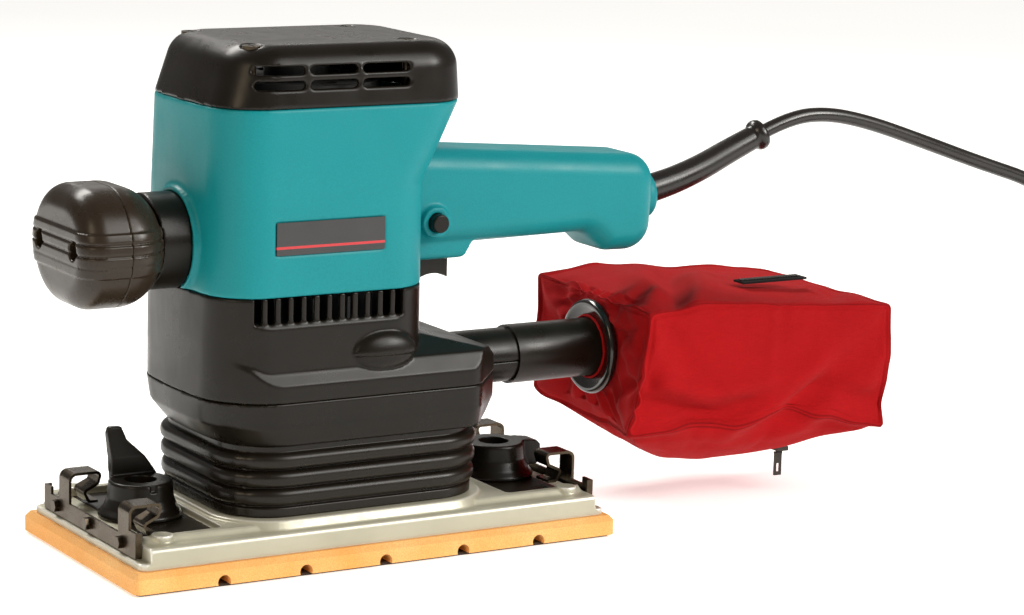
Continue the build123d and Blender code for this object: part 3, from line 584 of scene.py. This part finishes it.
# Each turn's radius and height in mm, from the way in to the plug's tail.
COIL_TURNS = [
    (37.8, 15.1), (41.1, 9.3), (34.4, 9.3), (28.0, 9.3), (31.0, 3.5), (37.6, 3.5), (44.2, 3.5),
]
COIL_CENTRE = Vector((432.0, -46.0, 0.0))
COIL_STEPS, COIL_OVERRUN = 20, 3
COIL_WAY_IN_RADIUS, COIL_WAY_IN = 44.0, 0.45

# Along the boot, in mm: its taper, the collar at the grip and the bead before its lip.
GUARD_STEPS = 90
GUARD_RADIUS, GUARD_TAPER = 6.9, 1.5
COLLAR_LENGTH, COLLAR_RADIUS = 3.0, 7.9
BEAD_START, BEAD_MIDDLE, BEAD_HALF, LIP_LENGTH = 6.0, 2.8, 2.9, 0.6
LIP_RADIUS, BEAD_RISE = 5.2, 2.1


def coil_points():
    """The put-away turns, clockwise from above, with each turn's second half led to the next."""
    points = []
    final = len(COIL_TURNS) - 1
    spread = cos(pi / COIL_STEPS) ** 0.5
    for i in range(1, len(COIL_TURNS) * COIL_STEPS + COIL_OVERRUN):
        place = i / COIL_STEPS
        turn = min(int(place), final)
        here, after = COIL_TURNS[turn], COIL_TURNS[min(turn + 1, final)]
        share = eased(max(0.0, (place - turn - 0.5) / 0.5))
        radius, height = (a * (1 - share) + b * share for a, b in zip(here, after))
        if place < COIL_WAY_IN:
            radius += (COIL_WAY_IN_RADIUS - radius) * (1 - place / COIL_WAY_IN) ** 1.5
        angle = -tau * place
        # The curve runs a little inside its control points, so they stand out by as much.
        reach = radius / spread
        points.append(COIL_CENTRE + Vector((reach * cos(angle), reach * sin(angle), height)))
    return points


def make_cord():
    """The cord from its guard, down to the floor and round its coil, to the plug."""
    route = [Vector(p) for p in CORD_ROUTE] + coil_points() + [Vector(p) for p in PLUG_TAIL]
    cord = nurbs("mains_cord", [p * MM for p in route], CORD_RADIUS)
    bpy.context.collection.objects.link(cord)
    dress(cord, "cord_pvc")
    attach(cord, "housing")
    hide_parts("cord", "cord_coil")
    guard = make_guard()


def guard_radius(run, total):
    """The boot's radius at a run from the grip, all in mm."""
    if run < COLLAR_LENGTH:
        return COLLAR_RADIUS
    radius = GUARD_RADIUS - GUARD_TAPER * run / total
    from_end = total - run
    if from_end >= BEAD_START:
        return radius
    if from_end <= LIP_LENGTH:
        return LIP_RADIUS
    bulge = max(0.0, 1 - ((from_end - BEAD_MIDDLE) / BEAD_HALF) ** 2) ** 0.5
    return max(radius, LIP_RADIUS + BEAD_RISE * bulge)


def make_guard():
    """Tapered bend relief with a collar at the grip and a bead at its end."""
    route = points_along([Vector(p) * MM for p in GUARD_ROUTE])
    line, total = respaced(route, GUARD_STEPS)
    length = total / MM
    runs = [length * i / GUARD_STEPS for i in range(GUARD_STEPS + 1)]
    mesh = skinned("cord_guard_boot", line, [guard_radius(run, length) * MM for run in runs])
    return new_piece("cord_guard_boot", mesh, "housing", "cord_pvc", "cord_guard")


# Bellows and dark pocket sheets ----------------------------------------------------------
# The folds are (middle height, half height, depth) and the rim is the foot below them, in mm.
BELLOWS_FRONT, BELLOWS_REAR, BELLOWS_HALF, BELLOWS_CORNER = -62.0, 57.0, 44.2, 22.7
BELLOWS_LOW, BELLOWS_HIGH, BELLOWS_WALL, BELLOWS_STEPS = 23.0, 53.0, 3.2, 96
BELLOWS_FOLDS = [(31.2, 3.8, 2.9), (39.0, 3.7, 3.2), (46.8, 3.7, 3.5)]
FOLD_ROOT, FOLD_POWER = 0.6, 2.6
RIM_REACH, RIM_HEIGHT, RIM_FADE = 1.4, 3.6, 0.8
MOULD_LINE_AT = Vector((BELLOWS_FRONT + 6.0, -BELLOWS_HALF + 7.5, 0.0))
MOULD_LINE_ACROSS = Vector((0.7, -0.7, 0.0))
MOULD_LINE_REACH, MOULD_LINE_DEPTH = 9.0, 0.9
OUTLINE_PITCH = 3.0

DARK_SHEET_FRONT, DARK_SHEET_REAR, DARK_SHEET_HALF, DARK_SHEET_CORNER = 69.8, 100.5, 41.8, 2.0
DARK_SHEET_LOW, DARK_SHEET_HIGH = 18.02, 18.32


def round_box(front, rear, half, corner, z, steps=22):
    """Points round a rounded rectangle: steps to a corner, and about 3 mm apart on its sides."""
    points = []
    right, left, side = rear - corner, front + corner, half - corner
    corners = ((right, side, 0.0), (left, side, 0.25), (left, -side, 0.5), (right, -side, 0.75))
    for cx, cy, turn in corners:
        for i in range(steps + 1):
            a = tau * (turn + 0.25 * i / steps)
            points.append(Vector((cx + corner * cos(a), cy + corner * sin(a), z)))
    full = []
    for a, b in zip(points, points[1:] + points[:1]):
        pieces = max(1, round((b - a).length / OUTLINE_PITCH))
        full += [a.lerp(b, i / pieces) for i in range(pieces)]
    return full


def fold_reach(z):
    """How far the bellows' outer wall stands out at a height."""
    above_rim = max(0.0, z - BELLOWS_LOW - RIM_HEIGHT)
    reach = RIM_REACH * max(0.0, 1.0 - above_rim / RIM_FADE)
    for middle, half, depth in BELLOWS_FOLDS:
        t = (z - middle) / half
        if abs(t) < 1:
            bulge = (1 - abs(t) ** FOLD_POWER) ** 0.5
            reach = max(reach, (depth + FOLD_ROOT) * bulge - FOLD_ROOT)
    return reach


def bellows_row(z, out):
    """The bellows' outline at a height, moved out from its plain size."""
    return round_box(
        BELLOWS_FRONT - out, BELLOWS_REAR + out, BELLOWS_HALF + out, BELLOWS_CORNER + out, z
    )


def make_bellows():
    """Three rounded rubber folds with a base rim and a moulding line down the near corner."""
    rows = []
    for i in range(BELLOWS_STEPS + 1):
        z = BELLOWS_LOW + (BELLOWS_HIGH - BELLOWS_LOW) * i / BELLOWS_STEPS
        rows.append(bellows_row(z, fold_reach(z)))
    rows += [bellows_row(z, -BELLOWS_WALL) for z in (BELLOWS_HIGH, BELLOWS_LOW)]
    # A wider outline has more points, so each row is thinned to the shortest one's count.
    count = min(len(row) for row in rows)
    work = bmesh.new()
    grid = []
    for row in rows:
        ring = [row[int(k * len(row) / count)] for k in range(count)]
        grid.append([work.verts.new(p * MM) for p in ring])
    for low, high in zip(grid, grid[1:] + grid[:1]):
        bridge(work, low, high)
    mesh = mesh_from(work, "bellows_folds")
    new_piece("bellows_folds", mesh, "housing", "bellows_rubber", "bellows")
    for vertex in mesh.vertices:
        away = Vector((vertex.co.x, vertex.co.y, 0.0)) / MM - MOULD_LINE_AT
        if away.length < MOULD_LINE_REACH:
            groove = exp(-((away.dot(MOULD_LINE_ACROSS) / MOULD_LINE_DEPTH) ** 2))
            vertex.co -= vertex.normal * MOULD_LINE_DEPTH * MM * groove


def make_dark_pocket_sheets():
    """Thin black sheets in the bellows' rubber finish on both lever pockets' floors, round the
    levers' hubs, so the floors come out dark.
    """
    outline = round_box(DARK_SHEET_FRONT, DARK_SHEET_REAR, DARK_SHEET_HALF, DARK_SHEET_CORNER, 0.0, steps=4)
    for name, side in (("dark_pocket_sheet_front", -1), ("dark_pocket_sheet_rear", 1)):
        work = bmesh.new()
        rings = []
        for z in (DARK_SHEET_HIGH, DARK_SHEET_LOW):
            rings.append([work.verts.new(Vector((side * p.x, p.y, z)) * MM) for p in outline])
        bridge(work, *rings)
        close_ends(work, rings)
        # Each sheet only makes its pocket floor dark.
        new_piece(name, mesh_from(work, name), "platen", "bellows_rubber", smooth=False)


# Dust bag -----------------------------------------------------------------------------
MOUTH = Vector((139.2, 0.0, 73.2))
MOUTH_RADIUS = 13.6
PLATE_RADIUS = 22.0
BAG_STEPS_X, BAG_STEPS_SIDE, BAG_STEPS_END = 40, 20, 12

# Along the bag: share of its length, heights of side seams, top and underside, and half width.
BAG_TABLE = [
    (0.00, 44.5, 99.0, 35.0, 52.5),
    (0.10, 45.5, 101.0, 28.5, 53.5),
    (0.22, 47.0, 102.5, 22.5, 54.0),
    (0.40, 45.5, 101.0, 20.0, 54.0),
    (0.58, 49.5, 98.5, 19.5, 54.0),
    (0.75, 46.0, 97.0, 21.0, 53.5),
    (0.90, 39.0, 95.5, 27.5, 53.0),
    (1.00, 35.5, 94.0, 33.0, 52.0),
]
# In mm: the end panels lean between two heights, the walls bulge, and the underside tucks in.
BAG_HALF = 54.0
BAG_FRONT_LOW, BAG_FRONT_HIGH, BAG_FRONT_FAR = 123.5, 134.3, 141.5
BAG_REAR_LOW, BAG_REAR_HIGH = 267.0, 269.5
END_LOW, END_RISE = 30.0, 68.0
SIDE_BULGE, TOP_CROWN, REAR_BULGE, REAR_SPAN = 1.2, 3.0, 4.0, 60.0
KEEL_POWER = 0.65
TUCK_POWER, TUCK_FRONT, TUCK_REAR = 1.5, 17.0, 16.0
REAR_MIDDLE = Vector((BAG_REAR_HIGH + REAR_BULGE, 0.0, 64.0))
MOUTH_PANEL_FLAT, MOUTH_PANEL_POWER = 0.82, 0.8

# The cloth sim: how far it may move a point, its frames, and the radius held at the mouth.
SAG_LIMIT, SAG_STEPS, HELD_RADIUS = 2.8 * MM, 26, 26.0


def between(table, x):
    """Smooth lookup in rows that start with x."""
    for low, high in zip(table, table[1:]):
        if x <= high[0]:
            t = (x - low[0]) / (high[0] - low[0])
            t = eased(t) * 0.5 + t * 0.5
            return [a + (b - a) * t for a, b in zip(low, high)]
    return list(table[-1])


def bag_point(s, u):
    """Point on the bag's wall: s from front to rear, u from 0 to 4 round it from the near seam."""
    _, seam, top, low, half = between(BAG_TABLE, s)
    side, t = int(u) % 4, u - int(u)
    if side == 0:
        y, z = -half - SIDE_BULGE * sin(pi * t), seam + (top - seam) * t
    elif side == 1:
        y, z = -half + 2 * half * t, top + TOP_CROWN * sin(pi * t) * sin(pi * s)
    elif side == 2:
        y, z = half + SIDE_BULGE * sin(pi * t), top - (top - seam) * t
    else:
        across = 1 - 2 * t
        y, z = half * across, seam - (seam - low) * (1 - across * across) ** KEEL_POWER
    level = min(1.0, max(0.0, (z - END_LOW) / END_RISE))
    front = BAG_FRONT_LOW + (BAG_FRONT_HIGH - BAG_FRONT_LOW) * level
    front += (BAG_FRONT_FAR - front) * (y + BAG_HALF) / (2 * BAG_HALF)
    rear = BAG_REAR_LOW + (BAG_REAR_HIGH - BAG_REAR_LOW) * level
    rear += REAR_BULGE * sin(pi * level) * (1 - (y / REAR_SPAN) ** 2)
    if z < seam - 1:
        tuck = ((seam - z) / max(seam - low, 1.0)) ** TUCK_POWER
        front += TUCK_FRONT * tuck
        rear -= TUCK_REAR * tuck
    return Vector((front + (rear - front) * s, y, z))


def bag_rows():
    """Rings of points over the front panel from the mouth, along the sides and in to the rear."""
    around = 4 * BAG_STEPS_SIDE
    walls = []
    for i in range(BAG_STEPS_X + 1):
        walls.append([bag_point(i / BAG_STEPS_X, 4 * k / around) for k in range(around)])
    front = []
    for j in range(1, BAG_STEPS_END + 1):
        t = j / BAG_STEPS_END
        ring = []
        for edge in walls[0]:
            away = Vector((0, edge.y, edge.z - MOUTH.z))
            rim = MOUTH + away.normalized() * MOUTH_RADIUS
            point = edge.lerp(rim, t)
            inward = min(1.0, (t / MOUTH_PANEL_FLAT)) ** MOUTH_PANEL_POWER
            point.x = edge.x + (MOUTH.x - edge.x) * inward
            ring.append(point)
        front.append(ring)
    rear = []
    for j in range(1, BAG_STEPS_END):
        t = j / BAG_STEPS_END
        ring = []
        for edge in walls[-1]:
            point = edge.lerp(REAR_MIDDLE, t)
            point.x = edge.x + (REAR_MIDDLE.x - edge.x) * (1 - (1 - t) ** 2)
            ring.append(point)
        rear.append(ring)
    return list(reversed(front)), walls, rear


def bag_mesh():
    """The sewn bag before it settles, with a "seam" attribute that is 1 on each seam."""
    front, walls, rear = bag_rows()
    first_wall, last_wall = len(front), len(front) + len(walls) - 1
    seams = (0, BAG_STEPS_SIDE, 2 * BAG_STEPS_SIDE, 3 * BAG_STEPS_SIDE)
    work = bmesh.new()
    layer = work.verts.layers.float.new("seam")
    grid = []
    for i, row in enumerate(front + walls + rear):
        ring = []
        for k, point in enumerate(row):
            vertex = work.verts.new(point)
            on_side = first_wall <= i <= last_wall and k in seams
            vertex[layer] = 1.0 if on_side or i in (first_wall, last_wall) else 0.0
            ring.append(vertex)
        grid.append(ring)
    for low, high in zip(grid, grid[1:]):
        bridge(work, low, high)
    work.faces.new(grid[-1])
    mesh = mesh_from(work, "bag_cloth")
    mesh.transform(Matrix.Scale(MM, 4))
    mesh.update()
    return mesh


def hold_cloth(piece):
    """A vertex group that pins the cloth round the mouth and half pins its seams."""
    seam = [value.value for value in piece.data.attributes["seam"].data]
    held = piece.vertex_groups.new(name="held")
    for vertex in piece.data.vertices:
        away = vertex.co / MM - MOUTH
        on_mouth_panel = -0.4 < away.x < 0.2
        if on_mouth_panel and Vector((0, away.y, away.z)).length < HELD_RADIUS:
            held.add([vertex.index], 1.0, "REPLACE")
        elif seam[vertex.index] > 0.5:
            held.add([vertex.index], 0.5, "REPLACE")
    return held


def sag_bag(piece):
    """Lets the cloth settle under light pressure and its own weight."""
    mesh = piece.data
    rest = [v.co.copy() for v in mesh.vertices]
    held = hold_cloth(piece)
    cloth = piece.modifiers.new("cloth", "CLOTH")
    cloth.settings.quality = 7
    cloth.settings.mass = 0.3
    cloth.settings.tension_stiffness = 20
    cloth.settings.compression_stiffness = 12
    cloth.settings.shear_stiffness = 8
    cloth.settings.bending_stiffness = 0.35
    cloth.settings.use_pressure = True
    cloth.settings.uniform_pressure_force = 1.1
    cloth.settings.shrink_min = -0.035
    cloth.settings.vertex_group_mass = held.name
    cloth.collision_settings.use_collision = False
    cloth.point_cache.frame_start = 1
    cloth.point_cache.frame_end = SAG_STEPS
    scene = bpy.context.scene
    for step in range(1, SAG_STEPS + 1):
        scene.frame_set(step)
    depsgraph = bpy.context.evaluated_depsgraph_get()
    settled = [v.co.copy() for v in piece.evaluated_get(depsgraph).data.vertices]
    piece.modifiers.remove(cloth)
    scene.frame_set(1)
    for vertex, before, after in zip(mesh.vertices, rest, settled):
        move = after - before
        if move.length > SAG_LIMIT:
            move = move.normalized() * SAG_LIMIT
        vertex.co = before + move
    mesh.update()


# Folds that the sim is too coarse for: centre, length, width, depth and direction, in mm.
BAG_FOLDS = [
    ((150.0, -54.0, 54.0), 30.0, 5.0, 4.5, (0.88, 0.0, -0.22)),
    ((186.0, -54.0, 51.0), 30.0, 5.5, 3.5, (0.97, 0.0, 0.12)),
    ((226.0, -54.0, 55.0), 26.0, 6.0, 3.5, (0.80, 0.0, 0.55)),
    ((206.0, -52.0, 40.0), 26.0, 6.0, 3.0, (0.88, 0.0, 0.42)),
    ((248.0, -54.0, 50.0), 20.0, 5.0, 2.5, (0.95, 0.0, -0.25)),
    ((160.0, -34.0, 103.0), 22.0, 5.0, 4.0, (0.55, 0.80, 0.0)),
    ((150.0, -20.0, 102.0), 16.0, 4.0, 2.8, (0.75, 0.65, 0.0)),
    ((176.0, -8.0, 103.0), 26.0, 7.0, 4.0, (0.45, 0.88, 0.0)),
    ((196.0, 22.0, 101.0), 24.0, 7.0, 3.0, (0.6, 0.8, 0.0)),
    ((256.0, -24.0, 97.0), 22.0, 6.0, 2.6, (0.6, 0.75, 0.0)),
    ((140.0, -40.0, 88.0), 16.0, 3.5, 3.0, (0.0, 0.75, 0.66)),
    ((136.0, -38.0, 62.0), 16.0, 3.5, 2.6, (0.0, 0.85, -0.4)),
    ((200.0, 54.0, 62.0), 30.0, 7.0, 3.0, (0.9, 0.0, 0.3)),
    ((240.0, 54.0, 75.0), 26.0, 7.0, 2.6, (0.8, 0.0, -0.5)),
    ((160.0, 54.0, 70.0), 24.0, 6.0, 3.0, (0.7, 0.0, 0.7)),
    ((270.0, 14.0, 62.0), 24.0, 7.0, 2.8, (0.0, 0.8, 0.6)),
    ((270.0, -22.0, 55.0), 20.0, 6.0, 2.4, (0.0, 0.7, -0.7)),
]
BANK_SHARE, BANK_AT = 0.45, 1.9
SEAM_RIDGE, SEAM_DIP = 0.9, 0.6
GATHER_DEPTH, GATHER_RADIUS, GATHER_WIDTH, GATHER_DEEP = 1.7, 31.0, 11.0, 6.0


def fold_depth(p, centre, length, width, depth, direction):
    """How far a fold moves a point out, below 0 in its valley and above 0 on its soft banks."""
    gap = p - centre
    along = gap.dot(direction)
    across = (gap - direction * along).length / width
    valley = exp(-(across ** 2)) - BANK_SHARE * exp(-((across - BANK_AT) ** 2))
    return -depth * valley * exp(-((along / length) ** 2))


def seam_relief(nearness):
    """Relief near a seam, from 0 away from it to 1 on it: a thin ridge beside a dip."""
    ridge = SEAM_RIDGE * max(0.0, nearness - 0.7) / 0.3
    return ridge - SEAM_DIP * sin(pi * min(1.0, nearness / 0.75))


def gathers(away, reach):
    """Uneven ripples that run out from the mouth, for a point at a reach from its axis."""
    angle = Vector((away.y, away.z)).angle_signed(Vector((0, 1)), 0.0)
    ripple = sin(13 * angle + 2.2 * sin(2 * angle) + sin(5 * angle))
    return GATHER_DEPTH * ripple * exp(-(((reach - GATHER_RADIUS) / GATHER_WIDTH) ** 2))


def crease_bag(piece):
    """Adds the seams' relief, folds, gathers and small unevenness, but none under the flange."""
    mesh = piece.data
    folds = []
    for centre, length, width, depth, direction in BAG_FOLDS:
        folds.append((Vector(centre), length, width, depth, Vector(direction).normalized()))
    seam = [value.value for value in mesh.attributes["seam"].data]
    moves = []
    for vertex in mesh.vertices:
        p = vertex.co / MM
        away = p - MOUTH
        reach = Vector((0, away.y, away.z)).length
        push = seam_relief(seam[vertex.index])
        push += sum(fold_depth(p, *fold) for fold in folds)
        if away.x < GATHER_DEEP:
            push += gathers(away, reach)
        push += 0.8 * noise.noise(p / 34.0) + 0.25 * noise.noise(p / 12.0 + Vector((7, 3, 1)))
        if away.x < 1 and reach < PLATE_RADIUS + 4:
            push *= min(1.0, max(0.0, (reach - PLATE_RADIUS) / 5.0))
        moves.append(vertex.normal * push * MM)
    for vertex, move in zip(mesh.vertices, moves):
        vertex.co += move
    mesh.update()


def make_bag():
    bag = new_piece("bag_cloth", bag_mesh(), "bag", "bag_fabric", "dust_bag")
    sag_bag(bag)
    smooth = bag.modifiers.new("subdivide", "SUBSURF")
    smooth.levels = smooth.render_levels = 2
    applied(bag)
    crease_bag(bag)


ZIPPER_AT = Vector((222.0, -21.0, 102.4))
ZIPPER_LENGTH, TOOTH_PITCH = 34.0, 1.5
TOOTH_SIZE = Vector((0.85, 2.2, 0.9))
TOOTH_ASIDE, TOOTH_UP = 0.85, 0.25


def make_zipper_teeth():
    """Two interlocked rows of metal teeth along the zipper's tape."""
    work = bmesh.new()
    size = Matrix.Diagonal((*(TOOTH_SIZE * MM), 1.0))
    first = ZIPPER_AT.x - ZIPPER_LENGTH / 2
    for i in range(int(ZIPPER_LENGTH / TOOTH_PITCH)):
        for side in (-1, 1):
            x = first + TOOTH_PITCH * (i + 0.25 + 0.25 * side)
            at = Vector((x, ZIPPER_AT.y + TOOTH_ASIDE * side, ZIPPER_AT.z + TOOTH_UP)) * MM
            bmesh.ops.create_cube(work, size=1.0, matrix=Matrix.Translation(at) @ size)
    mesh = mesh_from(work, "zipper_teeth", outward=False)
    new_piece("zipper_teeth", mesh, "bag", "zipper_metal", smooth=False)


# Places along the nozzle's axis and radii about it, in mm.
FLANGE_SECTION = [(139.0, 13.4), (136.6, 13.4), (135.9, 14.2), (135.8, 17.6), (134.9, 18.6)]
RIM_AT, RIM_SIZE, RIM_STEPS = (136.9, 19.9), (2.2, 1.9), 8
FLANGE_BACK = (139.0, 19.0)
EDGE_AT, EDGE_SIZE, EDGE_STEPS = (135.9, 14.1), (0.75, 0.65), 12
EDGE_FRAY = 0.35 * MM


def make_bag_fittings():
    """Flange with a rolled rim, and the cloth edge that shows round the tube inside it."""
    rim = list(FLANGE_SECTION)
    for i in range(RIM_STEPS + 1):
        a = pi * i / RIM_STEPS
        rim.append((RIM_AT[0] - RIM_SIZE[0] * cos(a), RIM_AT[1] + RIM_SIZE[1] * sin(a)))
    rim.append(FLANGE_BACK)
    ring_profile("bag_flange", "bag", "ring_plastic", rim, "bag_ring")
    edge = []
    for i in range(EDGE_STEPS):
        a = tau * i / EDGE_STEPS
        edge.append((EDGE_AT[0] + EDGE_SIZE[0] * cos(a), EDGE_AT[1] + EDGE_SIZE[1] * sin(a)))
    piece = ring_profile("bag_mouth_edge", "bag", "bag_fabric", edge)
    for vertex in piece.data.vertices:
        vertex.co.x += EDGE_FRAY * noise.noise(vertex.co * 400)


# The whole visual model ---------------------------------------------------------------
FLOOR_HALF, FLOOR_DROP = 4.0, 0.0002


def make_floor():
    """Pale paper that fades into the white surround, just below the sander."""
    mesh = bpy.data.meshes.new("floor")
    half = FLOOR_HALF
    corners = [(-half, -half, 0), (half, -half, 0), (half, half, 0), (-half, half, 0)]
    mesh.from_pydata(corners, [], [(0, 1, 2, 3)])
    floor = bpy.data.objects.new("floor", mesh)
    floor.location.z = cad_box[0].z - FLOOR_DROP
    bpy.context.collection.objects.link(floor)
    s = Shader("floor_paper", 0.85)
    s.colour(s.ramp(s.noise(3.0), (0.3, (0.93, 0.925, 0.91)), (0.7, (0.95, 0.945, 0.93))))
    s.shader.inputs["Emission Color"].default_value = (1.0, 0.995, 0.985, 1.0)
    s.shader.inputs["Emission Strength"].default_value = 0.5
    floor.data.materials.append(s.material)


# Body, slot, voxel in mm, smoothing passes, and the CAD nodes that become one piece.
SOFTENED = [
    ("housing", "teal_plastic", 0.9, 5, "housing_left", "housing_right"),
    ("housing", "black_plastic", 0.8, 4, "top_cover"),
    ("housing", "black_plastic", 0.7, 3, "lower_housing", "nozzle_upper"),
    ("housing", "black_plastic", 0.8, 3, "skirt_cover", "nozzle_lower"),
    ("housing", "knob_plastic", 0.45, 2, "knob_front"),
    ("housing", "knob_plastic", 0.45, 2, "knob_back"),
    ("housing", "black_plastic", 0.6, 3, "knob_neck"),
    ("front_lever", "black_plastic", 0.45, 3, "front_lever"),
    ("rear_lever", "black_plastic", 0.45, 3, "rear_lever"),
    ("platen", "plate_aluminium", 0.6, 2, "base_plate"),
]

MATERIALS = make_materials()
make_camera()
dress_frame()
make_cord()
make_studio()
make_floor()
for ride_body, finish, voxel_mm, smoothing, *parts in SOFTENED:
    softened(ride_body, finish, voxel_mm * MM, smoothing, *parts)
make_bellows()
make_dark_pocket_sheets()
make_bag()
make_bag_fittings()
make_zipper_teeth()
